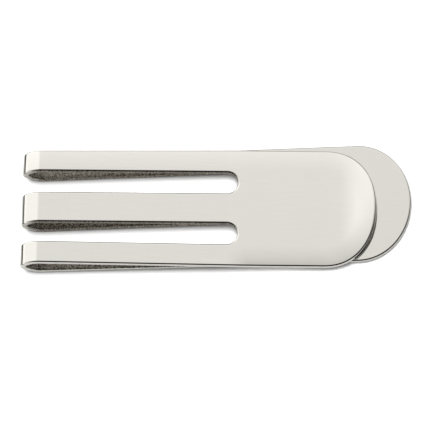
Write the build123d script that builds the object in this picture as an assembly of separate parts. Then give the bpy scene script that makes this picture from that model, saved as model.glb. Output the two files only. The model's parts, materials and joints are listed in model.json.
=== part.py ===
from build123d import *
from math import acos, atan2, cos, degrees, hypot, radians, sin
import os

# A slotted money clip, folded from one flat strip of polished steel. Two slots cut three
# fingers into the middle of the strip, and the strip is folded over across the fingers.
# The back leaf lies flat. The front leaf slopes down from the fold until it meets the back
# leaf, and its tip turns up as a lip that lets the banknotes in.
#
# The strip is written out as the zones in which it bends: two stiff plates, six springy
# fingers and three folds. +X runs from the fold to the open tips, +Y is the left side when
# the fold is towards the viewer, +Z is up. The underside of the back leaf is at z = 0.

# ---- Driving dimensions, in millimetres and degrees ----
width = 17.8  # across a plate
sheet = 0.9  # thickness of the strip
edge_radius = 0.2  # rounding of the polished edges
fold_radius = 2.5  # outside of the fold
back_length = 56.5  # from the fold's outermost line to the back leaf's tip
front_length = 51.4  # from the fold's outermost line to the lip's tip
slot_length = 31.4  # from the fold's outermost line to the slots' round ends
slot_width = 3.15
lip_start = 44.0  # where the front leaf begins to turn up
lip_radius = 25.0  # bend of the lip, on its upper face
grip_gap = 0.05  # left between the leaves where they meet, so that they never overlap
back_end_depth = 7.7  # length of the rounded end, along X
front_end_depth = 7.5
skew = 1.36  # turn of the back leaf about the fold, in the plane of the table

# Edges of the fingers along Y: low and high at the slots' ends, then low and high at the
# fold. The outer fingers close in slightly towards the fold.
middle_low, middle_high = -2.4, 2.25
toe_in = 0.26
fingers = {
    "left": (middle_high + slot_width, width / 2, middle_high + slot_width, width / 2 - toe_in),
    "middle": (middle_low, middle_high, middle_low, middle_high),
    "right": (-width / 2, middle_low - slot_width, toe_in - width / 2, toe_in + middle_low - slot_width),
}

# ---- Worked-out dimensions ----
inner_radius = fold_radius - sheet
slot_root = slot_length - slot_width / 2  # where the slots' straight sides end
margin = 3.0  # how far cutting tools stand past what they cut
block_height = 4 * fold_radius  # of a plan view's block, above and below the table
on_plane = 1e-4  # an edge this near to a plane lies on it
upright_share = 0.9  # an edge whose direction is at least this much upwards stands upright


def leaf_slope():
    """Angle at which the front leaf comes down, so that the underside of its lip clears the
    back leaf by grip_gap at its lowest line. The leaf's straight run drops with the sine of
    the angle, and the fold and the lip add their radii times its cosine."""
    run = lip_start - fold_radius
    reach = fold_radius + lip_radius
    drop = lip_radius + 2 * sheet + grip_gap - fold_radius
    return acos(drop / hypot(reach, run)) - atan2(run, reach)


slope = leaf_slope()
fold_top = (fold_radius + fold_radius * sin(slope), fold_radius + fold_radius * cos(slope))


def below(point, distance):
    """The point this far under the front leaf's upper face, square to the leaf."""
    return (point[0] - distance * sin(slope), point[1] - distance * cos(slope))


def front_sheet():
    """The front leaf's side view, fold to lip, as a slab wider than the leaf."""
    run = (lip_start - fold_top[0]) / cos(slope)
    start = (lip_start, fold_top[1] - run * sin(slope))
    centre = below(start, -lip_radius)
    tip_angle = (front_length + margin - lip_start) / lip_radius - slope
    tip = (centre[0] + lip_radius * sin(tip_angle), centre[1] - lip_radius * cos(tip_angle))
    outer = lip_radius + sheet
    under_tip = (centre[0] + outer * sin(tip_angle), centre[1] - outer * cos(tip_angle))
    upper = Line(fold_top, start) + RadiusArc(start, tip, -lip_radius)
    end = Line(tip, under_tip)
    lower = RadiusArc(under_tip, below(start, sheet), outer)
    lower += Line(below(start, sheet), below(fold_top, sheet))
    close = Line(below(fold_top, sheet), fold_top)
    face = make_face((Curve() + [upper, end, lower, close]).edges())
    return extrude(Plane.XZ * face, width / 2 + margin, both=True)


def back_sheet():
    """The flat back leaf as a slab wider and longer than the leaf."""
    corner = (Align.MIN, Align.CENTER, Align.MIN)
    slab = Box(back_length + 2 * margin, width + 2 * margin, sheet, align=corner)
    return Pos(-margin, 0, 0) * slab


def upright(face):
    """The plan view of a piece as a tall block, to be cut out of a slab."""
    return extrude(face, block_height, both=True)


def finger_plan(name, start):
    """One finger between start and the slots' ends. Its sides run on straight from the two
    widths given in the table above."""
    low_root, high_root, low_fold, high_fold = fingers[name]
    share = (slot_root - start) / (slot_root - fold_radius)
    low = low_root + share * (low_fold - low_root)
    high = high_root + share * (high_fold - high_root)
    right_side, left_side = (start, low), (start, high)
    outline = Polyline(right_side, (slot_root, low_root), (slot_root, high_root), left_side, close=True)
    return make_face(outline)


def plate_plan(length, end_depth):
    """A plate from the slots' ends to its rounded tip, with the slots' round ends cut out."""
    straight = length - end_depth - slot_root
    plan = Pos(slot_root, 0) * Rectangle(straight, width, align=(Align.MIN, Align.CENTER))
    plan += Pos(length - end_depth, 0) * Ellipse(end_depth, width / 2)
    for centre in (middle_high + slot_width / 2, middle_low - slot_width / 2):
        plan -= Pos(slot_root, centre) * Circle(slot_width / 2)
    return plan


def round_edges(piece, ends):
    """Round the long edges of a piece, and leave the flat faces sharp where it runs on into
    its neighbours. Those faces lie on the given planes."""

    def lies_on(edge, plane):
        along = (edge @ 0, edge @ 0.5, edge @ 1)
        return all(abs((point - plane.origin).dot(plane.z_dir)) < on_plane for point in along)

    def is_upright(edge):
        return abs(edge.tangent_at(0.5).Z) > upright_share

    edges = [edge for edge in piece.edges() if not is_upright(edge)]
    edges = [edge for edge in edges if not any(lies_on(edge, plane) for plane in ends)]
    return fillet(edges, edge_radius)


fold_exit = Plane(origin=(fold_top[0], 0, fold_top[1]), z_dir=(cos(slope), 0, -sin(slope)))
fold_entry = Plane(origin=(fold_radius, 0, 0), z_dir=(1, 0, 0))
root = Plane(origin=(slot_root, 0, 0), z_dir=(1, 0, 0))


def fold(name):
    """One fold: a strip of sheet bent through half a turn and the leaf's slope."""
    low, high = fingers[name][2:]
    start = Plane(origin=(fold_radius, 0, 0), x_dir=(0, 1, 0), z_dir=(1, 0, 0))
    section = Pos((low + high) / 2, sheet / 2) * RectangleRounded(high - low, sheet, edge_radius)
    centre_line = Axis((fold_radius, 0, fold_radius), (0, 1, 0))
    return revolve(start * section, centre_line, 180 + degrees(slope))


def front_pieces():
    slab = front_sheet()
    plate = slab & upright(plate_plan(front_length, front_end_depth))
    pieces = {"front_plate": round_edges(plate, [root])}
    for name in fingers:
        finger = slab & upright(finger_plan(name, fold_radius - margin))
        pieces[f"front_{name}_finger"] = round_edges(finger, [fold_exit, root])
    return pieces


def back_pieces():
    slab = back_sheet()
    turn = Pos(fold_radius, 0, 0) * Rot(0, 0, skew) * Pos(-fold_radius, 0, 0)
    skewed_x = (cos(radians(skew)), sin(radians(skew)), 0)
    turned_root = Plane(origin=(turn * Pos(slot_root, 0, 0)).position, z_dir=skewed_x)
    plate = turn * (slab & upright(plate_plan(back_length, back_end_depth)))
    pieces = {"back_plate": round_edges(plate, [turned_root])}
    for name in fingers:
        finger = turn * (slab & upright(finger_plan(name, fold_radius - margin)))
        finger = split(finger, bisect_by=fold_entry, keep=Keep.TOP)
        pieces[f"back_{name}_finger"] = round_edges(finger, [fold_entry, turned_root])
    return pieces


clip = back_pieces() | {f"{name}_fold": fold(name) for name in fingers} | front_pieces()

# The origin is under the middle of the whole clip.
box = Compound(children=[Part() + piece for piece in clip.values()]).bounding_box()
to_middle = Pos(-box.center().X, -box.center().Y, -box.min.Z)

os.makedirs("parts", exist_ok=True)
for name, piece in clip.items():
    export_step(to_middle * piece, f"parts/{name}.step")
fold_exit_place = (to_middle * Pos(fold_top[0], 0, fold_top[1])).position
print("size", box.size, "leaf slope", degrees(slope), "fold exit", fold_exit_place)
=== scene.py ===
import json
import math
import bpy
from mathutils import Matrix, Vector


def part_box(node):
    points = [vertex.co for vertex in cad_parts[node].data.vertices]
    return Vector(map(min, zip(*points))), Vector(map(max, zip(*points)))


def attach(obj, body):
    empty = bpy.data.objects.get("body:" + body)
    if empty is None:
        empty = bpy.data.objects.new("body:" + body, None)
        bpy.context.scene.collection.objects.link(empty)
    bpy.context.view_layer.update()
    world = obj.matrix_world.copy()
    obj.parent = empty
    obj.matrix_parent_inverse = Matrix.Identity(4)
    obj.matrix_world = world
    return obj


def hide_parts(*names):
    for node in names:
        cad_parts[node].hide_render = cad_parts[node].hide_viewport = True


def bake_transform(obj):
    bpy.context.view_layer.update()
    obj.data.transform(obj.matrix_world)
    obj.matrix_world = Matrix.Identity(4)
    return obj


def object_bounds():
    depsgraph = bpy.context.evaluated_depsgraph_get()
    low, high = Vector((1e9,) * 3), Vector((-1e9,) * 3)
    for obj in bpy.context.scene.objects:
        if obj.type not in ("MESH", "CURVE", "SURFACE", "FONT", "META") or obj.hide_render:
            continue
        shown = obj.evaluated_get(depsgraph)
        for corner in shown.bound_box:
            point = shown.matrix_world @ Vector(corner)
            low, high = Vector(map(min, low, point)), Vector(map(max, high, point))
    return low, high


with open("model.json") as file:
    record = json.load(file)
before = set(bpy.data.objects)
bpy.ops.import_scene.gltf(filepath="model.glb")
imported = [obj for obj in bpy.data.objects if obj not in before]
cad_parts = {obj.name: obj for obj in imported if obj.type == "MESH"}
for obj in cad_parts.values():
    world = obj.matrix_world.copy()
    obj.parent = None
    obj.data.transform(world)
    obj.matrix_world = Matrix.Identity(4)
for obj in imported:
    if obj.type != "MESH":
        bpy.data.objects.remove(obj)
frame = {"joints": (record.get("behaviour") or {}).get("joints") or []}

from types import SimpleNamespace

import bpy
import numpy as np
from mathutils import Matrix, Vector

bl_info = {
    "name": "Slotted Money Clip",
    "version": (1, 0, 0),
    "blender": (4, 5, 0),
    "location": "3D View > Sidebar > Money Clip",
    "description": "Builds a folded steel money clip, its finish and its studio around the packed frame",
    "category": "Add Mesh",
}

# The clip is one strip of steel, bent over across three fingers. Every piece below is a zone
# of that strip. It is first worked out on the flat blank, as a place along it, a place across
# it and a depth under its polished outer face, and then carried onto the bent strip.

CAD_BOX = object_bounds()
HINGES = {joint["name"]: joint["pos_m"] for joint in frame["joints"]}
FRONT_BOX, BACK_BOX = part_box("front_plate"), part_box("back_plate")
FINGERS = ("left", "middle", "right")
FOLD_BOXES = {name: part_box(name + "_fold") for name in FINGERS}

# The fold is half a turn and the leaf's slope, so the line between its two ends leans by half
# that slope.
FOLD_DRIFT = HINGES["leaf_opening"][0] - HINGES["fold_opening"][0]
LEAF_SLOPE = 2 * math.atan(FOLD_DRIFT / HINGES["leaf_opening"][2])
SMALL = 1e-9  # keeps a division from meeting zero


# ---------------------------------------------------------------- settings


class ClipSizes(bpy.types.PropertyGroup):
    """Sizes of the strip that the frame's boxes and hinges don't give."""

    sheet: bpy.props.FloatProperty(
        name="Sheet", description="Thickness of the strip", unit="LENGTH", subtype="DISTANCE",
        default=BACK_BOX[1].z - BACK_BOX[0].z, precision=5)
    edge_radius: bpy.props.FloatProperty(
        name="Edge radius", description="Rounding of the polished edges", unit="LENGTH",
        subtype="DISTANCE", default=0.00028, precision=5)
    slope: bpy.props.FloatProperty(
        name="Leaf slope", description="Angle at which the front leaf comes down from the fold",
        unit="ROTATION", subtype="ANGLE", default=LEAF_SLOPE)
    skew: bpy.props.FloatProperty(
        name="Skew", description="Turn of the back leaf about the fold, seen from above",
        unit="ROTATION", subtype="ANGLE", default=math.radians(1.36))
    fold_point: bpy.props.FloatProperty(
        name="Fold point", description="How much of the fold's bend gathers at its tip and its two "
        "ends: 0 is a round fold, 1 has straight flanks", subtype="FACTOR", default=0.35, min=0, max=1)
    fold_reach: bpy.props.FloatProperty(
        name="Fold reach", description="How much more of the bend gathers at the fold's tip than at "
        "its two ends", subtype="FACTOR", default=0.15, min=0, max=1)
    lip_length: bpy.props.FloatProperty(
        name="Lip length", description="From where the front leaf turns up to its tip", unit="LENGTH",
        subtype="DISTANCE", default=0.0074, precision=5)
    lip_radius: bpy.props.FloatProperty(
        name="Lip radius", description="Bend of the lip, on its upper face", unit="LENGTH",
        subtype="DISTANCE", default=0.025, precision=5)
    crown: bpy.props.FloatProperty(
        name="Crown", description="Width of the zone along each long edge that buffing has rounded off",
        unit="LENGTH", subtype="DISTANCE", default=0.003, precision=5)
    far_lean: bpy.props.FloatProperty(
        name="Far lean", description="How far the front leaf's face leans outwards at its left edge",
        unit="ROTATION", subtype="ANGLE", default=math.radians(3.0))
    near_lean: bpy.props.FloatProperty(
        name="Near lean", description="The same at the front plate's right edge",
        unit="ROTATION", subtype="ANGLE", default=math.radians(4.5))
    tip_lean: bpy.props.FloatProperty(
        name="Tip lean", description="The same at the lip's tip",
        unit="ROTATION", subtype="ANGLE", default=math.radians(8.0))
    front_end: bpy.props.FloatProperty(
        name="Front end", description="Length of the front leaf's rounded end", unit="LENGTH",
        subtype="DISTANCE", default=0.0075, precision=5)
    front_square: bpy.props.FloatProperty(
        name="Front squareness", description="Power of the front tip's curve: 2 is half an ellipse, "
        "and more is squarer", subtype="FACTOR", default=2.22, min=2, max=4)
    back_end: bpy.props.FloatProperty(
        name="Back end", description="Length of the back leaf's rounded end", unit="LENGTH",
        subtype="DISTANCE", default=0.0077, precision=5)


class ClipFinish(bpy.types.PropertyGroup):
    """Colours of the steel."""

    polished: bpy.props.FloatVectorProperty(
        name="Polished steel", description="Colour of the buffed faces", subtype="COLOR", size=3,
        default=(0.742, 0.722, 0.672), min=0, max=1)
    mill: bpy.props.FloatVectorProperty(
        name="Mill finish", description="Colour of the unpolished face inside the fold",
        subtype="COLOR", size=3, default=(0.5, 0.47, 0.42), min=0, max=1)
    cut: bpy.props.FloatVectorProperty(
        name="Cut edge", description="Colour of the raw edges inside the slots", subtype="COLOR",
        size=3, default=(0.33, 0.30, 0.255), min=0, max=1)


class ClipStudio(bpy.types.PropertyGroup):
    """The camera and the floor."""

    azimuth: bpy.props.FloatProperty(
        name="Azimuth", description="Camera's turn round the clip, from square to its long side",
        unit="ROTATION", subtype="ANGLE", default=math.radians(16.65))
    elevation: bpy.props.FloatProperty(
        name="Elevation", description="Camera's height above the table, as an angle",
        unit="ROTATION", subtype="ANGLE", default=math.radians(70.53))
    roll: bpy.props.FloatProperty(
        name="Roll", description="Camera's turn about its own line of sight", unit="ROTATION",
        subtype="ANGLE", default=math.radians(-16.57))
    distance: bpy.props.FloatProperty(
        name="Distance", description="From the camera to the clip", unit="LENGTH",
        subtype="DISTANCE", default=0.7)
    field: bpy.props.FloatProperty(
        name="Field", description="Width of what the camera sees at that distance", unit="LENGTH",
        subtype="DISTANCE", default=0.06267308, precision=5)
    paper: bpy.props.FloatVectorProperty(
        name="Paper", description="Colour of the floor", subtype="COLOR", size=3,
        default=(0.92, 0.92, 0.92), min=0, max=1)


# ---------------------------------------------------------------- the strip


def strip_of(sizes):
    """Every measure of the strip, in metres: the settings, and what follows from them and from
    the frame. x runs along the clip, y across it, and depth goes in from the outer face."""
    entry, leave = HINGES["fold_opening"], HINGES["leaf_opening"]
    strip = SimpleNamespace(
        sheet=sizes.sheet, edge=sizes.edge_radius, slope=sizes.slope, skew=sizes.skew,
        middle=(FRONT_BOX[0].y + FRONT_BOX[1].y) / 2, half=(FRONT_BOX[1].y - FRONT_BOX[0].y) / 2,
        fold_start=Vector((entry[0], entry[2])), fold_end=Vector((leave[0], leave[2])),
        fold_point=sizes.fold_point, fold_reach=sizes.fold_reach,
        root=FRONT_BOX[0].x, tip=FRONT_BOX[1].x,
        lip_start=FRONT_BOX[1].x - sizes.lip_length, lip_radius=sizes.lip_radius,
        front_end=sizes.front_end, back_end=sizes.back_end, front_square=sizes.front_square)
    spread = math.hypot(strip.back_end * math.cos(strip.skew), strip.half * math.sin(strip.skew))
    reach = (BACK_BOX[1].x - strip.fold_start.x - spread) / math.cos(strip.skew)
    strip.back_tip = strip.fold_start.x + reach + strip.back_end
    slot = FOLD_BOXES["left"][0].y - FOLD_BOXES["middle"][1].y
    strip.slot_radius = slot / 2
    strip.crown, strip.far_lean = sizes.crown, sizes.far_lean
    strip.near_lean, strip.tip_lean = sizes.near_lean, sizes.tip_lean
    strip.low_edge, strip.high_edge = strip.middle - strip.half, strip.middle + strip.half
    strip.at_fold = {name: (box[0].y, box[1].y) for name, box in FOLD_BOXES.items()}
    centre_low, centre_high = strip.at_fold["middle"]
    strip.at_root = {
        "left": (centre_high + slot, strip.high_edge),
        "middle": (centre_low, centre_high),
        "right": (strip.low_edge, centre_low - slot)}
    return strip


def stacked(*parts):
    """The parts as one array with a last axis of vectors."""
    return np.stack(np.broadcast_arrays(*parts), axis=-1)


def crowned(strip, x, y, depth, normal):
    """Buffing has rounded the front leaf off towards its long edges and its tip. A point's
    reach is its distance from the leaf's middle line, or from the middle of its rounded end,
    as a share of the way to the outline. In the outermost zone the outer face drops by the
    square of how far the point is into the zone, and its normal leans outwards with it. The
    drop fades through the sheet, and the inner face keeps its place."""
    end = np.clip(x - (strip.tip - strip.front_end), 0, None) / strip.front_end
    side = (y - strip.middle) / strip.half
    reach = np.hypot(end, side)
    zone = strip.crown / strip.half
    into = np.clip((reach - 1) / zone + 1, 0, 1)
    out_x, out_y = end / strip.front_end, side / strip.half
    length = np.hypot(out_x, out_y) + SMALL
    out_x, out_y = out_x / length, out_y / length
    near_lean = strip.near_lean * np.clip((x - strip.root) / strip.crown, 0, 1)
    lean = out_x ** 2 * strip.tip_lean + out_y ** 2 * np.where(side > 0, strip.far_lean, near_lean)
    tilt = lean * into * np.clip(normal[2], 0, None)
    drop = lean * strip.crown * into ** 2 / 2
    leaning = (normal[0] + out_x * tilt, normal[1] + out_y * tilt, normal[2])
    return depth + drop * (1 - depth / strip.sheet), leaning


def front_zone(strip):
    """The front leaf: straight down from the fold at the leaf's slope, then a circular arc up
    to the tip. A point is its upper-face point less depth times the upward normal, and a
    normal is its parts along, across and out of the sheet, times the sheet's own directions."""
    fall = strip.lip_start - strip.fold_end.x
    lip_height = strip.fold_end.y - fall * math.tan(strip.slope)
    centre_x = strip.lip_start + strip.lip_radius * math.sin(strip.slope)
    centre_z = lip_height + strip.lip_radius * math.cos(strip.slope)

    def place(x, y, depth, normal):
        depth, normal = crowned(strip, x, y, depth, normal)
        x, y, depth = np.broadcast_arrays(x, y, depth)
        on_lip = x > strip.lip_start
        bend = np.arcsin(np.clip((x - centre_x) / strip.lip_radius, -1, 1))
        angle = np.where(on_lip, bend, -strip.slope)
        straight = strip.fold_end.y - (x - strip.fold_end.x) * math.tan(strip.slope)
        height = np.where(on_lip, centre_z - strip.lip_radius * np.cos(angle), straight)
        along = stacked(np.cos(angle), 0 * x, np.sin(angle))
        out = stacked(-np.sin(angle), 0 * x, np.cos(angle))
        points = stacked(x, y, height) - depth[..., None] * out
        n_along, n_across, n_out = (np.broadcast_to(n, x.shape)[..., None] for n in normal)
        return points, n_along * along + n_across * np.array([0, 1, 0]) + n_out * out

    def station(share, y):
        return strip.fold_end.x + share * (strip.root - strip.fold_end.x) + 0 * y

    def blank(x, y, depth):
        return stacked(x - strip.fold_end.x + strip.fold_run / 2, y, depth)

    return SimpleNamespace(place=place, station=station, blank=blank)


def back_zone(strip):
    """The back leaf: flat on the table with its outer face down, turned by the skew about the
    middle of the fold's start."""
    c, s = math.cos(strip.skew), math.sin(strip.skew)
    start = strip.fold_start.x

    def turned(x, y):
        return c * x - s * y, s * x + c * y

    def place(x, y, depth, normal):
        x, y, depth = np.broadcast_arrays(x, y, depth)
        across_x, across_y = turned(x - start, y - strip.middle)
        n_x, n_y = turned(normal[0], normal[1])
        directions = (np.broadcast_to(n, x.shape) for n in (n_x, n_y, -normal[2]))
        return stacked(start + across_x, strip.middle + across_y, depth), stacked(*directions)

    def station(share, y):
        first = start + (y - strip.middle) * math.tan(strip.skew)
        return first + share * (strip.root - first)

    def blank(x, y, depth):
        return stacked(start - x - strip.fold_run / 2, y, depth)

    return SimpleNamespace(place=place, station=station, blank=blank)


FOLD_SAMPLES = 2001  # places along the fold where its path is worked out


def fold_zone(strip):
    """The fold. The outer face's heading turns from backwards along the table, through
    upwards, to forwards down the front leaf. Its rate of turning along the fold is
    1 + point times the cosine of two whole turns - reach times the cosine of one, so the bend
    gathers at both ends and most of all at the tip. The path is the running sum of the
    heading, scaled to end on the front leaf."""
    turn = math.pi + strip.slope
    steps = np.linspace(0, 1, FOLD_SAMPLES)
    heading = turn * (steps + strip.fold_point * np.sin(4 * np.pi * steps) / (4 * np.pi)
                      - strip.fold_reach * np.sin(2 * np.pi * steps) / (2 * np.pi))
    runs = np.stack([-np.cos(heading), np.sin(heading)], axis=-1)
    path = np.concatenate([np.zeros((1, 2)), np.cumsum((runs[1:] + runs[:-1]) / 2, axis=0)])
    path /= len(steps) - 1
    chord = np.array(strip.fold_end - strip.fold_start)
    strip.fold_run = np.linalg.norm(chord) / np.linalg.norm(path[-1])
    path = np.array(strip.fold_start) + path * strip.fold_run

    def place(share, y, depth, normal):
        depth, normal = crowned(strip, strip.fold_end.x, y, depth, normal)
        share, y, depth = np.broadcast_arrays(share, y, depth)
        angle = np.interp(share, steps, heading)
        x, z = np.interp(share, steps, path[:, 0]), np.interp(share, steps, path[:, 1])
        along = stacked(-np.cos(angle), 0 * x, np.sin(angle))
        out = stacked(-np.sin(angle), 0 * x, -np.cos(angle))
        points = stacked(x, y, z) - depth[..., None] * out
        n_along, n_across, n_out = (np.broadcast_to(n, x.shape)[..., None] for n in normal)
        return points, n_along * along + n_across * np.array([0, 1, 0]) + n_out * out

    def blank(share, y, depth):
        return stacked((share - 0.5) * strip.fold_run, y, depth)

    return SimpleNamespace(place=place, station=lambda share, y: share + 0 * y, blank=blank)


# ---------------------------------------------------------------- surfaces

# How finely the strip is divided: round its edge section, across its fingers, and along its
# zones.
CORNER_STEPS, WALL_STEPS = 8, 3
MIDDLE_COLUMNS, OUTER_COLUMNS = 13, 15
BACK_ROWS, FOLD_ROWS, FRONT_ROWS, PLATE_ROWS = 33, 97, 49, 81
SLOT_END_ROWS = 33
TIP_SAMPLES = 4001  # places round a tip where its curve is worked out


def edge_round(strip):
    """The edge band's section, from the outer face round to the inner face: how far it stands
    out, its depth, and its normal's sideways and outward parts. A quarter circle, a straight
    wall and a quarter circle."""
    quarter = np.linspace(0, np.pi / 2, CORNER_STEPS + 1)
    wall = np.linspace(1, -1, WALL_STEPS + 1)[1:-1]
    angle = np.concatenate([quarter, np.full(len(wall), np.pi / 2), quarter + np.pi / 2])
    side = np.concatenate([np.ones(len(quarter)), wall, -np.ones(len(quarter))])
    half = strip.sheet / 2
    depth = half - side * (half - strip.edge) - strip.edge * np.cos(angle)
    return strip.edge * np.sin(angle), depth, np.sin(angle), np.cos(angle)


def patch(zone, x, y, depth, normal, cut=0.0, rim=0.0):
    """A grid of points on the strip, with normals, places on the blank and masks: cut is 1 on
    the raw edges inside the slots, and rim is 1 on the buffed outer edges."""
    points, normals = zone.place(x, y, depth, normal)
    x, y, depth, cut, rim, out = np.broadcast_arrays(x, y, depth, cut, rim, normal[2])
    return SimpleNamespace(
        points=points, normals=normals, blank=zone.blank(x, y, depth),
        masks=stacked(cut, rim, (1 - out) / 2), is_cap=False)


def cap(zone, x, y, depth, normal):
    """A closed outline that is filled as one flat face, where a piece meets its neighbour."""
    filled = patch(zone, x, y, depth, normal)
    filled.is_cap = True
    return filled


def section_outline(strip, flat):
    """One section of a finger as a closed outline: its places across and its depths. flat
    holds the places across its outer flat."""
    out, depth, _, _ = edge_round(strip)
    y = [flat, flat[-1] + out[1:], flat[::-1][1:], flat[0] - out[::-1][1:-1]]
    d = [0 * flat, depth[1:], np.full(len(flat) - 1, strip.sheet), depth[::-1][1:-1]]
    return np.concatenate(y), np.concatenate(d)


def flat_samples(strip, name, low, high):
    """Places across a finger's flat, from edge radius to edge radius. The outer fingers' lie
    closer together towards the outer edge, as the sine of even steps, so that they also suit
    the round ends of the plates."""
    low, high = low + strip.edge, high - strip.edge
    if name == "middle":
        return np.linspace(low, high, MIDDLE_COLUMNS)
    reach = strip.half - strip.edge
    inner_low, inner_high = strip.at_root[name]
    inner = inner_low + strip.edge if name == "left" else inner_high - strip.edge
    first = math.asin(abs(inner - strip.middle) / reach)
    share = np.sin(np.linspace(first, np.pi / 2, OUTER_COLUMNS))
    share = (share - share[0]) / (share[-1] - share[0])
    return low + share * (high - low) if name == "left" else high - share[::-1] * (high - low)


def ribbon(strip, zone, name, shares, at_start, at_end):
    """A finger or a fold: the rounded section carried along the zone. Its two edges run
    straight from their places at the start to those at the end."""
    shares = np.asarray(shares)[:, None]
    flats = [flat_samples(strip, name, *edges) for edges in (at_start, at_end)]
    flat = flats[0] + shares * (flats[1] - flats[0])
    out, depth, side, up = edge_round(strip)
    cut_low, cut_high = name != "right", name != "left"
    patches = []
    for at_depth, outward in ((0.0, 1.0), (strip.sheet, -1.0)):
        patches.append(patch(zone, zone.station(shares, flat), flat, at_depth, (0, 0, outward)))
    for edge, sign, is_cut in ((flat[:, :1], -1, cut_low), (flat[:, -1:], 1, cut_high)):
        y = edge + sign * out
        patches.append(patch(
            zone, zone.station(shares, y), y, depth, (0, sign * side, up),
            cut=is_cut * side ** 2, rim=(not is_cut) * side ** 2))
    for row in (0, -1):
        y, at_depth = section_outline(strip, flat[row])
        share = shares[row]
        patches.append(cap(zone, zone.station(share, y), y, at_depth, (1.0 if row else -1.0, 0, 0)))
    return patches


def tip_curve(strip, tip, end_length, square):
    """A plate's tip, drawn in by the edge radius: its places along and across, and the angles
    that its edge faces. On the full curve, the shares of the end's length and of the half
    width, each raised to the power square, add up to 1."""
    corner = tip - end_length
    around = np.linspace(-np.pi / 2, np.pi / 2, TIP_SAMPLES)
    ahead = np.abs(np.cos(around)) ** (2 / square)
    aside = np.abs(np.sin(around)) ** (2 / square) * np.sign(around)
    n_x = ahead ** (square - 1) / end_length
    n_y = np.sign(around) * np.abs(aside) ** (square - 1) / strip.half
    length = np.hypot(n_x, n_y)
    n_x, n_y = n_x / length, n_y / length
    x = corner + end_length * ahead - strip.edge * n_x
    y = strip.middle + strip.half * aside - strip.edge * n_y
    return x, y, np.unwrap(np.arctan2(n_y, n_x))


def plate(strip, zone, tip, end_length, square=2.0):
    """A plate, from the slots' round ends to its rounded tip. Its flat faces are ruled from the
    slotted side, which is straight lines and half circles, to the tip's curve, both drawn in by
    the edge radius. Its edge band stands out from them along their normals."""
    arc = np.linspace(-np.pi / 2, np.pi / 2, SLOT_END_ROWS)
    wide = strip.slot_radius + strip.edge
    centres = [strip.at_root[name][1] + strip.slot_radius for name in ("right", "middle")]
    left_x, left_y, arc_rows = [], [], []
    for name, centre in zip(("right", "middle", "left"), centres + [None]):
        flat = flat_samples(strip, name, *strip.at_root[name])
        left_y.append(flat if centre is None else flat[:-1])
        left_x.append(np.full(len(left_y[-1]), strip.root))
        if centre is not None:
            first = sum(len(part) for part in left_y)
            arc_rows.append((first, first + len(arc), centre))
            left_y.append((centre + wide * np.sin(arc))[:-1])
            left_x.append((strip.root + wide * np.cos(arc))[:-1])
    left_x, left_y = np.concatenate(left_x), np.concatenate(left_y)

    tip_x, tip_y, facing = tip_curve(strip, tip, end_length, square)
    right_x = np.interp(left_y, tip_y, tip_x)
    right_turn = np.interp(left_y, tip_y, facing)

    share = np.linspace(0, 1, PLATE_ROWS)[:, None]
    x, y = left_x + share * (right_x - left_x), np.broadcast_to(left_y, (PLATE_ROWS, len(left_y)))
    patches = [patch(zone, x, y, 0.0, (0, 0, 1.0)), patch(zone, x, y, strip.sheet, (0, 0, -1.0))]

    out, depth, side, up = edge_round(strip)

    def band(edge_x, edge_y, n_x, n_y, cut, rim):
        columns = (np.broadcast_to(part, edge_x.shape)[:, None] for part in (edge_x, edge_y, n_x, n_y))
        edge_x, edge_y, n_x, n_y = columns
        patches.append(patch(
            zone, edge_x + out * n_x, edge_y + out * n_y, depth, (side * n_x, side * n_y, up),
            cut=cut * side ** 2, rim=rim * side ** 2))

    band(x[:, 0], y[:, 0], 0.0, -1.0, 0, 1)
    band(right_x, left_y, np.cos(right_turn), np.sin(right_turn), 0, 1)
    band(x[:, -1], y[:, -1], 0.0, 1.0, 0, 1)
    for first, last, centre in arc_rows:
        band(left_x[first:last], left_y[first:last], -np.cos(arc), -np.sin(arc), 1, 0)
    for name in ("right", "middle", "left"):
        flat = flat_samples(strip, name, *strip.at_root[name])
        outline_y, outline_depth = section_outline(strip, flat)
        patches.append(cap(zone, strip.root, outline_y, outline_depth, (-1.0, 0, 0)))
    return patches


WELD = 1e-7  # metres: points closer than this are one


def grid_faces(first, points, normals):
    """The corners of a grid's four-sided faces, wound so that they face along its normals."""
    rows, columns = points.shape[:2]
    index = first + np.arange(rows * columns).reshape(rows, columns)
    faces = np.stack([index[:-1, :-1], index[1:, :-1], index[1:, 1:], index[:-1, 1:]], axis=-1)
    across = points[1:, 1:] - points[:-1, :-1]
    over = points[:-1, 1:] - points[1:, :-1]
    faced = np.sum(np.cross(across, over) * normals[:-1, :-1])
    return faces.reshape(-1, 4)[:, ::-1] if faced < 0 else faces.reshape(-1, 4)


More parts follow.
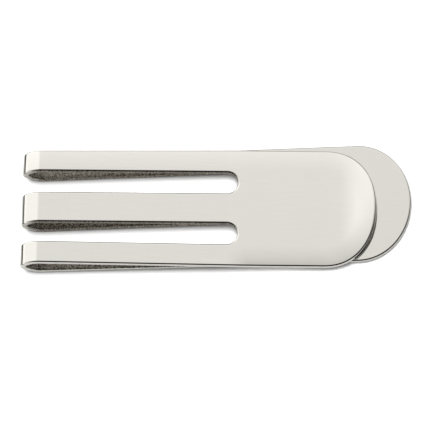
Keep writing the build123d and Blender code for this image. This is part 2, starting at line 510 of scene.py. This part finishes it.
def steel_object(name, patches, material):
    """One closed mesh from the patches of a piece, welded where they meet. Every corner keeps
    the normal of its own patch, and every point its place on the blank and its masks."""
    corners, caps, first = [], [], 0
    for part in patches:
        if part.is_cap:
            loop = first + np.arange(len(part.points))
            area = np.cross(part.points, np.roll(part.points, -1, axis=0)).sum(axis=0)
            caps.append(loop[::-1] if np.dot(area, part.normals[0]) < 0 else loop)
            first += len(part.points)
        else:
            corners.append(grid_faces(first, part.points, part.normals))
            first += part.points.shape[0] * part.points.shape[1]
    points, normals, blank = (
        np.concatenate([getattr(part, field).reshape(-1, 3) for part in patches])
        for field in ("points", "normals", "blank"))
    masks = np.concatenate([part.masks.reshape(-1, 3) for part in patches])
    _, kept, welded = np.unique(
        np.round(points / WELD), axis=0, return_index=True, return_inverse=True)
    welded = welded.reshape(-1)
    quads = np.concatenate(corners)
    faces = welded[quads].tolist() + [welded[loop].tolist() for loop in caps]
    mesh = bpy.data.meshes.new(name)
    mesh.from_pydata(points[kept].tolist(), [], faces)
    mesh.shade_smooth()
    corner_normals = np.concatenate([normals[quads.reshape(-1)]] + [normals[loop] for loop in caps])
    mesh.normals_split_custom_set(corner_normals.tolist())
    for label, values in (("blank", blank[kept]), ("masks", masks[kept])):
        layer = mesh.attributes.new(label, "FLOAT_VECTOR", "POINT")
        layer.data.foreach_set("vector", values.astype(np.float32).reshape(-1))
    mesh.materials.append(material)
    piece = bpy.data.objects.new(name, mesh)
    bpy.context.scene.collection.objects.link(piece)
    return piece


def new_strip(context):
    """The strip's measures and its three zones."""
    strip = strip_of(context.scene.clip_sizes)
    fold = fold_zone(strip)
    return strip, fold, front_zone(strip), back_zone(strip)


# ---------------------------------------------------------------- materials


def add_node(tree, kind, **values):
    """A new node. Names that start with a capital set an input socket, others a property."""
    node = tree.nodes.new(kind)
    for name, value in values.items():
        if name[0].isupper():
            target = node.inputs[name.replace("_", " ")]
            if isinstance(value, bpy.types.NodeSocket):
                tree.links.new(value, target)
            else:
                target.default_value = value
        else:
            setattr(node, name, value)
    return node


def math_node(tree, operation, *terms):
    """The result of one sum on values, each a socket or a number."""
    node = tree.nodes.new("ShaderNodeMath")
    node.operation = operation
    for socket, term in zip(node.inputs, terms):
        if isinstance(term, bpy.types.NodeSocket):
            tree.links.new(term, socket)
        else:
            socket.default_value = term
    return node.outputs[0]


def ramp(tree, value, low, high, to_low=0.0, to_high=1.0):
    """value mapped smoothly from low..high to to_low..to_high, and held outside."""
    node = add_node(tree, "ShaderNodeMapRange", interpolation_type="SMOOTHSTEP", Value=value)
    limits = {"From Min": low, "From Max": high, "To Min": to_low, "To Max": to_high}
    for name, number in limits.items():
        node.inputs[name].default_value = number
    return node.outputs["Result"]


def mixed(tree, factor, first, second):
    """A colour between first and second."""
    node = tree.nodes.new("ShaderNodeMix")
    node.data_type = "RGBA"
    for index, value in ((0, factor), (6, first), (7, second)):
        if isinstance(value, bpy.types.NodeSocket):
            tree.links.new(value, node.inputs[index])
        else:
            node.inputs[index].default_value = value
    return node.outputs[2]


def new_group(name, inputs, outputs):
    """An empty node group. inputs gives each name its default, or None for a vector, and
    outputs lists the names of the values that the group gives."""
    group = bpy.data.node_groups.new(name, "ShaderNodeTree")
    for label, default in inputs.items():
        kind = "NodeSocketVector" if default is None else "NodeSocketFloat"
        socket = group.interface.new_socket(label, in_out="INPUT", socket_type=kind)
        if default is not None:
            socket.default_value = default
    for label in outputs:
        group.interface.new_socket(label, in_out="OUTPUT", socket_type="NodeSocketFloat")
    return group, group.nodes.new("NodeGroupInput"), group.nodes.new("NodeGroupOutput")


def brush_group():
    """Fine straight marks left by the buffing wheel, drawn out along the strip."""
    group, into, out = new_group(
        "brush_marks", {"Blank": None, "Across": 9000.0, "Along": 260.0}, ["Marks"])
    along, across = into.outputs["Along"], into.outputs["Across"]
    scale = add_node(group, "ShaderNodeCombineXYZ", X=along, Y=across, Z=across)
    spread = add_node(group, "ShaderNodeVectorMath", operation="MULTIPLY")
    group.links.new(into.outputs["Blank"], spread.inputs[0])
    group.links.new(scale.outputs[0], spread.inputs[1])
    fine = add_node(group, "ShaderNodeTexNoise", Vector=spread.outputs[0], Scale=1.0,
                    Detail=4.0, Roughness=0.6)
    group.links.new(fine.outputs["Fac"], out.inputs["Marks"])
    return group


def haze_group():
    """Slow patches where the polish is a little duller."""
    group, into, out = new_group("polish_haze", {"Blank": None, "Patch": 240.0}, ["Haze"])
    slow = add_node(group, "ShaderNodeTexNoise", Vector=into.outputs["Blank"],
                    Scale=into.outputs["Patch"], Detail=3.0, Roughness=0.55)
    group.links.new(ramp(group, slow.outputs["Fac"], 0.35, 0.7), out.inputs["Haze"])
    return group


def grain_group():
    """Coarse torn grain of unpolished steel: light and dark flecks, broken up by pits."""
    group, into, out = new_group("raw_grain", {"Blank": None, "Size": 3600.0}, ["Fleck", "Relief"])
    blank, size = into.outputs["Blank"], into.outputs["Size"]
    coarse = add_node(group, "ShaderNodeTexNoise", Vector=blank, Scale=size, Detail=5.0, Roughness=0.75)
    pits = add_node(group, "ShaderNodeTexVoronoi", Vector=blank, Scale=size)
    pitted = ramp(group, pits.outputs["Distance"], 0.0, 0.7, 0.5, 1.0)
    both = math_node(group, "MULTIPLY", coarse.outputs["Fac"], pitted)
    group.links.new(ramp(group, both, 0.25, 0.62), out.inputs["Fleck"])
    group.links.new(both, out.inputs["Relief"])
    return group


def wear_group():
    """Edge wear: a mask that breaks the buffed rim into brighter rubbed runs."""
    group, into, out = new_group("edge_wear", {"Blank": None, "Rim": 0.0, "Run": 900.0}, ["Wear"])
    runs = add_node(group, "ShaderNodeTexNoise", Vector=into.outputs["Blank"],
                    Scale=into.outputs["Run"], Detail=4.0)
    rubbed = ramp(group, runs.outputs["Fac"], 0.4, 0.65)
    worn = math_node(group, "MULTIPLY", into.outputs["Rim"], rubbed)
    group.links.new(worn, out.inputs["Wear"])
    return group


def placed(tree, group, **inputs):
    """The group as one node of a material."""
    return add_node(tree, "ShaderNodeGroup", node_tree=group, **inputs)


def tone(colour, gain=1.0):
    """The colour made lighter or darker, as a socket takes it."""
    return tuple(min(1.0, part * gain) for part in colour) + (1.0,)


# The looks of the steel. A tone multiplies a colour, and a pair of tones is for the dark and the
# light flecks. Lengths are in metres.
BRUSHED_TONE, WORN_TONE = 0.9, 1.08
# On the fold the mill flecks are darker: mill grain, with painted shade of the hollow inside the fold.
MILL_TONES, FOLD_MILL_AND_SHADE_TONES, CUT_TONES = (0.35, 1.5), (0.12, 1.15), (0.25, 1.9)
CUT_EDGE = (0.35, 0.75)  # the cut mask, from polished to raw
INNER_EDGE = (0.8, 0.99)  # the inner mask, from polished to mill finish
MARKS = (0.3, 0.7)  # the brush marks, from none to full
LOOP_END = (0.0022, 0.0042)  # from the fold's tip along the strip, where its edges turn raw
BUFFED_ROUGHNESS, HAZE_ROUGHNESS, MARKS_ROUGHNESS = 0.07, 0.05, 0.04
RAW_ROUGHNESS, FLECK_ROUGHNESS = 0.3, 0.2
RAW_RELIEF, RAW_HEIGHT = 0.5, 0.00006
BRUSH_RELIEF, BRUSH_HEIGHT = 0.04, 0.00001


def steel_material(
        name, groups, finish, brush, inner=0.0, loop_polish=0.0, shade=1.0, mill_and_shade_tones=MILL_TONES):
    """Polished steel. Base colour goes from the buffed tone to the mill tone on the inner face
    of the fold and fingers, and to the raw tone on the slots' cut edges. brush is how strongly
    the brush marks show, inner is how much of the inner face is unpolished, loop_polish is how
    far the cut edges are polished round the fold, shade darkens the buffed tone as painted
    shade, and mill_and_shade_tones are those of the mill finish's dark and light flecks, which on the
    fold are darker still as painted shade of its hollow."""
    material = bpy.data.materials.new(name)
    material.use_nodes = True
    tree = material.node_tree
    tree.nodes.clear()
    blank = add_node(tree, "ShaderNodeAttribute", attribute_name="blank").outputs["Vector"]
    masks = add_node(tree, "ShaderNodeAttribute", attribute_name="masks").outputs["Vector"]
    parts = add_node(tree, "ShaderNodeSeparateXYZ", Vector=masks)
    cut = ramp(tree, parts.outputs["X"], *CUT_EDGE)
    if loop_polish:
        place = add_node(tree, "ShaderNodeSeparateXYZ", Vector=blank)
        away = math_node(tree, "ABSOLUTE", place.outputs["X"])
        cut = math_node(tree, "MULTIPLY", cut, ramp(tree, away, *LOOP_END, 1.0 - loop_polish, 1.0))
    inside = math_node(tree, "MULTIPLY", ramp(tree, parts.outputs["Z"], *INNER_EDGE), inner)
    marks = placed(tree, groups["brush"], Blank=blank).outputs["Marks"]
    haze = placed(tree, groups["haze"], Blank=blank).outputs["Haze"]
    grain = placed(tree, groups["grain"], Blank=blank)
    wear = placed(tree, groups["wear"], Blank=blank, Rim=parts.outputs["Y"]).outputs["Wear"]
    fleck = grain.outputs["Fleck"]

    # a shade below 1 darkens the buffed tone as painted shade
    buffed, brushed = tone(finish.polished, shade), tone(finish.polished, BRUSHED_TONE * shade)
    face = mixed(tree, ramp(tree, marks, *MARKS, 0.0, brush), buffed, brushed)
    face = mixed(tree, wear, face, tone(finish.polished, WORN_TONE))
    # on the fold these tones also hold painted shade of its hollow
    mill = mixed(tree, fleck, *(tone(finish.mill, gain) for gain in mill_and_shade_tones))
    raw = mixed(tree, fleck, *(tone(finish.cut, gain) for gain in CUT_TONES))
    colour = mixed(tree, cut, mixed(tree, inside, face, mill), raw)

    dull = math_node(tree, "MAXIMUM", cut, inside)
    smooth = math_node(tree, "MULTIPLY_ADD", haze, HAZE_ROUGHNESS, BUFFED_ROUGHNESS)
    smooth = math_node(tree, "MULTIPLY_ADD", marks, MARKS_ROUGHNESS, smooth)
    rough = math_node(tree, "MULTIPLY_ADD", fleck, FLECK_ROUGHNESS, RAW_ROUGHNESS)
    roughness = add_node(tree, "ShaderNodeMix", Factor=dull)
    tree.links.new(smooth, roughness.inputs[2])
    tree.links.new(rough, roughness.inputs[3])

    torn = math_node(tree, "MULTIPLY", grain.outputs["Relief"], dull)
    relief = add_node(tree, "ShaderNodeBump", Strength=RAW_RELIEF, Distance=RAW_HEIGHT, Height=torn)
    relief = add_node(tree, "ShaderNodeBump", Strength=BRUSH_RELIEF, Distance=BRUSH_HEIGHT,
                      Height=marks, Normal=relief.outputs["Normal"])
    shader = add_node(tree, "ShaderNodeBsdfPrincipled", Metallic=1.0, Base_Color=colour,
                      Roughness=roughness.outputs[0], Normal=relief.outputs["Normal"])
    out = tree.nodes.new("ShaderNodeOutputMaterial")
    tree.links.new(shader.outputs["BSDF"], out.inputs["Surface"])
    return material


STEELS = {
    "front_plate_steel": {"brush": 0.25},
    # the back plate is the same steel, its buffed tone darkened as painted shade
    "back_plate_steel": {"brush": 0.25, "shade": 0.96},
    "finger_steel": {"brush": 0.35, "inner": 1.0},
    # the fold's darker mill tones are painted shade of its hollow
    "fold_steel": {"brush": 0.3, "inner": 1.0, "loop_polish": 0.5, "mill_and_shade_tones": FOLD_MILL_AND_SHADE_TONES},
}


def finish_materials(scene):
    """The steels by name, made the first time that a piece asks for one."""
    found = {name: bpy.data.materials.get(name) for name in STEELS}
    if all(found.values()):
        return found
    groups = {
        "brush": brush_group(), "haze": haze_group(), "grain": grain_group(), "wear": wear_group()}
    return {
        name: steel_material(name, groups, scene.clip_finish, **look)
        for name, look in STEELS.items()}


# ---------------------------------------------------------------- pieces


class MONEYCLIP_OT_back_plate(bpy.types.Operator):
    """Make the stiff end of the back leaf, which the clip lies on"""

    bl_idname = "moneyclip.back_plate"
    bl_label = "Back Plate"

    def execute(self, context):
        strip, _, _, back = new_strip(context)
        steel = finish_materials(context.scene)["back_plate_steel"]
        patches = plate(strip, back, strip.back_tip, strip.back_end)
        piece = steel_object("back_plate_steel", patches, steel)
        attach(piece, "back_leaf")
        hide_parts("back_plate")
        return {"FINISHED"}


class MONEYCLIP_OT_back_fingers(bpy.types.Operator):
    """Make the three fingers of the back leaf"""

    bl_idname = "moneyclip.back_fingers"
    bl_label = "Back Fingers"

    def execute(self, context):
        strip, _, _, back = new_strip(context)
        steel = finish_materials(context.scene)["finger_steel"]
        shares = np.linspace(0, 1, BACK_ROWS)
        for name in FINGERS:
            patches = ribbon(strip, back, name, shares, strip.at_fold[name], strip.at_root[name])
            piece = steel_object(f"back_{name}_finger_steel", patches, steel)
            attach(piece, "back_leaf")
            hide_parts(f"back_{name}_finger")
        return {"FINISHED"}


class MONEYCLIP_OT_folds(bpy.types.Operator):
    """Make the three folds, which open a little when the clip is loaded"""

    bl_idname = "moneyclip.folds"
    bl_label = "Folds"

    def execute(self, context):
        strip, fold, _, _ = new_strip(context)
        steel = finish_materials(context.scene)["fold_steel"]
        shares = np.linspace(0, 1, FOLD_ROWS)
        for name in FINGERS:
            patches = ribbon(strip, fold, name, shares, strip.at_fold[name], strip.at_fold[name])
            piece = steel_object(f"{name}_fold_steel", patches, steel)
            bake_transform(piece)
            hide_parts(f"{name}_fold")
        return {"FINISHED"}


class MONEYCLIP_OT_front_fingers(bpy.types.Operator):
    """Make the three fingers of the front leaf, which carry its spring"""

    bl_idname = "moneyclip.front_fingers"
    bl_label = "Front Fingers"

    def execute(self, context):
        strip, _, front, _ = new_strip(context)
        steel = finish_materials(context.scene)["finger_steel"]
        shares = np.linspace(0, 1, FRONT_ROWS)
        for name in FINGERS:
            patches = ribbon(strip, front, name, shares, strip.at_fold[name], strip.at_root[name])
            piece = steel_object(f"front_{name}_finger_steel", patches, steel)
            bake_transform(piece)
            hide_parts(f"front_{name}_finger")
        return {"FINISHED"}


class MONEYCLIP_OT_front_plate(bpy.types.Operator):
    """Make the stiff end of the front leaf, with its upturned lip"""

    bl_idname = "moneyclip.front_plate"
    bl_label = "Front Plate"

    def execute(self, context):
        strip, _, front, _ = new_strip(context)
        steel = finish_materials(context.scene)["front_plate_steel"]
        patches = plate(strip, front, strip.tip, strip.front_end, strip.front_square)
        piece = steel_object("front_plate_steel", patches, steel)
        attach(piece, "front_leaf")
        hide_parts("front_plate")
        return {"FINISHED"}


# ---------------------------------------------------------------- studio


WHITE = (1.0, 1.0, 1.0, 1.0)


def sky(world):
    """The light tent as the steel reflects it, by direction: brighter beyond the clip and to
    its left, dimmer to its right and overhead, dark on the camera's side, and grey low down all
    round, but for one dark corner on the right. Whatever else looks at the sky sees it
    plain."""
    world.use_nodes = True
    tree = world.node_tree
    tree.nodes.clear()
    way = add_node(tree, "ShaderNodeTexCoord").outputs["Generated"]

    def towards(direction, low, high, to_low, to_high):
        """A level that depends on how squarely a ray goes in one direction, from -1 to 1."""
        turned = add_node(tree, "ShaderNodeVectorMath", operation="DOT_PRODUCT")
        tree.links.new(way, turned.inputs[0])
        turned.inputs[1].default_value = direction
        return ramp(tree, turned.outputs["Value"], low, high, to_low, to_high)

    beyond = towards((0.0, 1.0, 0.0), 0.12, 0.6, 0.84, 1.28)
    beyond_low = towards((0.0, 1.0, 0.0), 0.72, 0.92, 1.0, 0.15)
    left = towards((-1.0, 0.0, 0.0), 0.07, 0.36, 0.0, 0.26)
    right = towards((1.0, 0.0, 0.0), 0.02, 0.6, 1.0, 0.75)
    camera_side = towards((0.2, -0.98, 0.0), -0.22, -0.02, 1.0, 0.45)
    camera_low = towards((0.2, -0.98, 0.0), 0.02, 0.2, 1.0, 0.04)
    low_right = towards((0.9, 0.3, -0.3), 0.74, 0.88, 1.0, 0.04)
    level = math_node(tree, "ADD", beyond, left)
    for shade in (beyond_low, right, camera_side, camera_low):
        level = math_node(tree, "MULTIPLY", level, shade)
    skirt = towards((0.0, 0.0, 1.0), 0.16, 0.36, 0.6, 0.0)
    level = math_node(tree, "MAXIMUM", level, skirt)
    level = math_node(tree, "MULTIPLY", level, low_right)
    tent = add_node(tree, "ShaderNodeBackground", Color=WHITE, Strength=level)
    seen = add_node(tree, "ShaderNodeLightPath")
    glow = ramp(tree, seen.outputs["Is Camera Ray"], 0.0, 1.0, 0.4, 1.0)
    plain = add_node(tree, "ShaderNodeBackground", Color=WHITE, Strength=glow)
    mix = tree.nodes.new("ShaderNodeMixShader")
    tree.links.new(seen.outputs["Is Glossy Ray"], mix.inputs[0])
    tree.links.new(plain.outputs[0], mix.inputs[1])
    tree.links.new(tent.outputs[0], mix.inputs[2])
    out = tree.nodes.new("ShaderNodeOutputWorld")
    tree.links.new(mix.outputs[0], out.inputs["Surface"])


# The paper as the steel sees it: painted shade and painted dark lines, which only the steel's
# reflections show. A pair of places is where one tone gives way to the next, in metres to the
# left of the clip, or to its right.
PAST_PAINTED_LINE, PAINTED_LINE, RIGHT_END = (0.0165, 0.0135), (0.0062, 0.0057), (0.0012, 0.0027)
NEAR_TONE, PAINTED_LINE_TONE, PAST_TONE, RIGHT_TONE = 0.44, 0.03, 0.72, 0.04
CONTACT_REACH, CONTACT_TONE = 0.0014, 0.36  # the painted shadow where the clip and the paper meet
CONTACT_OPEN = (0.3, 0.95)  # how open the paper is, from the full painted shadow to none
PAPER_ROUGHNESS = 0.9


def paper_material(colour):
    """White paper, exposed so that it just burns out, and darker only where it nearly touches
    the clip, a painted shadow. The steel sees it a little greyer, as painted shade, with a
    painted dark line in it on the left, brighter paper past that, and a painted dark end on the
    right: painted reflections that the camera doesn't see on the paper."""
    material = bpy.data.materials.new("paper")
    material.use_nodes = True
    tree = material.node_tree
    shader = tree.nodes["Principled BSDF"]
    seen = add_node(tree, "ShaderNodeLightPath")
    place = add_node(tree, "ShaderNodeTexCoord").outputs["Object"]
    x = add_node(tree, "ShaderNodeSeparateXYZ", Vector=place).outputs["X"]
    left, right = CAD_BOX[0].x, CAD_BOX[1].x
    # painted reflections: greyer paper, a dark line to the left and a dark end to the right, seen only
    # by the steel
    paper = mixed(tree, ramp(tree, x, *(left - gap for gap in PAST_PAINTED_LINE)),
                  tone(colour, PAST_TONE), tone(colour, PAINTED_LINE_TONE))
    paper = mixed(tree, ramp(tree, x, *(left - gap for gap in PAINTED_LINE)), paper, tone(colour, NEAR_TONE))
    paper = mixed(tree, ramp(tree, x, *(right + gap for gap in RIGHT_END)), paper,
                  tone(colour, RIGHT_TONE))
    # the camera sees the plain paper, and every other ray the painted tones
    shade = mixed(tree, seen.outputs["Is Camera Ray"], paper, tone(colour))
    # painted shadow: the paper's colour darkens where ambient occlusion finds the clip close by
    near = add_node(tree, "ShaderNodeAmbientOcclusion", samples=8, Distance=CONTACT_REACH)
    contact = ramp(tree, near.outputs["AO"], *CONTACT_OPEN)
    shade = mixed(tree, contact, tone(colour, CONTACT_TONE), shade)
    tree.links.new(shade, shader.inputs["Base Color"])
    shader.inputs["Roughness"].default_value = PAPER_ROUGHNESS
    shader.inputs["Specular IOR Level"].default_value = 0.0
    return material


def stage_sheet(name, corners, material):
    """One flat four-sided sheet of the stage."""
    mesh = bpy.data.meshes.new(name)
    mesh.from_pydata(corners, [], [(0, 1, 2, 3)])
    mesh.materials.append(material)
    card = bpy.data.objects.new(name, mesh)
    bpy.context.scene.collection.objects.link(card)


def sun(name, towards, spread, strength):
    """A broad soft light from one direction, which the steel doesn't reflect."""
    data = bpy.data.lights.new(name, "SUN")
    data.angle, data.energy = spread, strength
    light = bpy.data.objects.new(name, data)
    light.rotation_euler = Vector(towards).to_track_quat("Z", "Y").to_euler()
    light.visible_glossy = False
    bpy.context.scene.collection.objects.link(light)


LAMPS = {  # the direction towards each, its spread in degrees and its strength
    "overhead": ((-0.08, 0.08, 1.0), 38, 4.5),
    "fill": ((0.0, -0.6, 1.0), 30, 0.9),
}
TABLE_REACH = 3.0  # metres from the middle to each side
SENSOR = 36.0  # millimetres
# Where the camera points: a place ahead of the fold and above the table, then a shift along the
# camera's own right and up, all in metres.
AIM_AHEAD, AIM_UP, AIM_SHIFT = 0.0285, 0.001, Vector((-0.000576, -0.000446, 0))


class MONEYCLIP_OT_stage(bpy.types.Operator):
    """Make the white table, the light tent, its two lamps and the camera"""

    bl_idname = "moneyclip.stage"
    bl_label = "Stage"

    def execute(self, context):
        scene, studio = context.scene, context.scene.clip_studio
        world = scene.world or bpy.data.worlds.new("tent")
        scene.world = world
        sky(world)
        scene.view_settings.view_transform = "Standard"

        signs = ((-1, -1), (1, -1), (1, 1), (-1, 1))
        corners = [(TABLE_REACH * x, TABLE_REACH * y, 0) for x, y in signs]
        stage_sheet("table", corners, paper_material(studio.paper))
        for name, (towards, spread, strength) in LAMPS.items():
            sun(name, towards, math.radians(spread), strength)

        a, e = studio.azimuth, studio.elevation
        back = Vector((math.sin(a) * math.cos(e), -math.cos(a) * math.cos(e), math.sin(e)))
        lens = bpy.data.cameras.new("camera")
        lens.sensor_width = SENSOR
        lens.lens = lens.sensor_width * studio.distance / studio.field
        lens.clip_start, lens.clip_end = 0.01, 100.0
        camera = bpy.data.objects.new("camera", lens)
        turn = (-back).to_track_quat("-Z", "Y").to_matrix() @ Matrix.Rotation(studio.roll, 3, "Z")
        middle = (FRONT_BOX[0].y + FRONT_BOX[1].y) / 2
        aim = Vector((CAD_BOX[0].x + AIM_AHEAD, middle, AIM_UP)) + turn @ AIM_SHIFT
        camera.matrix_world = Matrix.Translation(aim + back * studio.distance) @ turn.to_4x4()
        scene.collection.objects.link(camera)
        scene.camera = camera
        return {"FINISHED"}


class MONEYCLIP_PT_panel(bpy.types.Panel):
    """Lists the clip's settings and the steps that build it"""

    bl_idname = "MONEYCLIP_PT_panel"
    bl_label = "Money Clip"
    bl_space_type = "VIEW_3D"
    bl_region_type = "UI"
    bl_category = "Money Clip"

    def draw(self, context):
        scene, layout = context.scene, self.layout
        for group in (scene.clip_sizes, scene.clip_finish, scene.clip_studio):
            box = layout.box()
            for name in group.bl_rna.properties.keys():
                if name not in ("rna_type", "name"):
                    box.prop(group, name)
        for step in STEPS:
            layout.operator(step.bl_idname)


STEPS = (
    MONEYCLIP_OT_back_plate,
    MONEYCLIP_OT_back_fingers,
    MONEYCLIP_OT_folds,
    MONEYCLIP_OT_front_fingers,
    MONEYCLIP_OT_front_plate,
    MONEYCLIP_OT_stage,
)
SETTINGS = {"clip_sizes": ClipSizes, "clip_finish": ClipFinish, "clip_studio": ClipStudio}


def register():
    """Make the settings, steps and panel known to Blender."""
    for item in (*SETTINGS.values(), *STEPS, MONEYCLIP_PT_panel):
        bpy.utils.register_class(item)
    for name, group in SETTINGS.items():
        setattr(bpy.types.Scene, name, bpy.props.PointerProperty(type=group))


def unregister():
    """Take them away again."""
    for name in SETTINGS:
        delattr(bpy.types.Scene, name)
    for item in reversed((*SETTINGS.values(), *STEPS, MONEYCLIP_PT_panel)):
        bpy.utils.unregister_class(item)


def main():
    """Build the clip and its stage."""
    register()
    bpy.ops.moneyclip.back_plate()
    bpy.ops.moneyclip.back_fingers()
    bpy.ops.moneyclip.folds()
    bpy.ops.moneyclip.front_fingers()
    bpy.ops.moneyclip.front_plate()
    bpy.ops.moneyclip.stage()


if __name__ == "__main__":
    main()
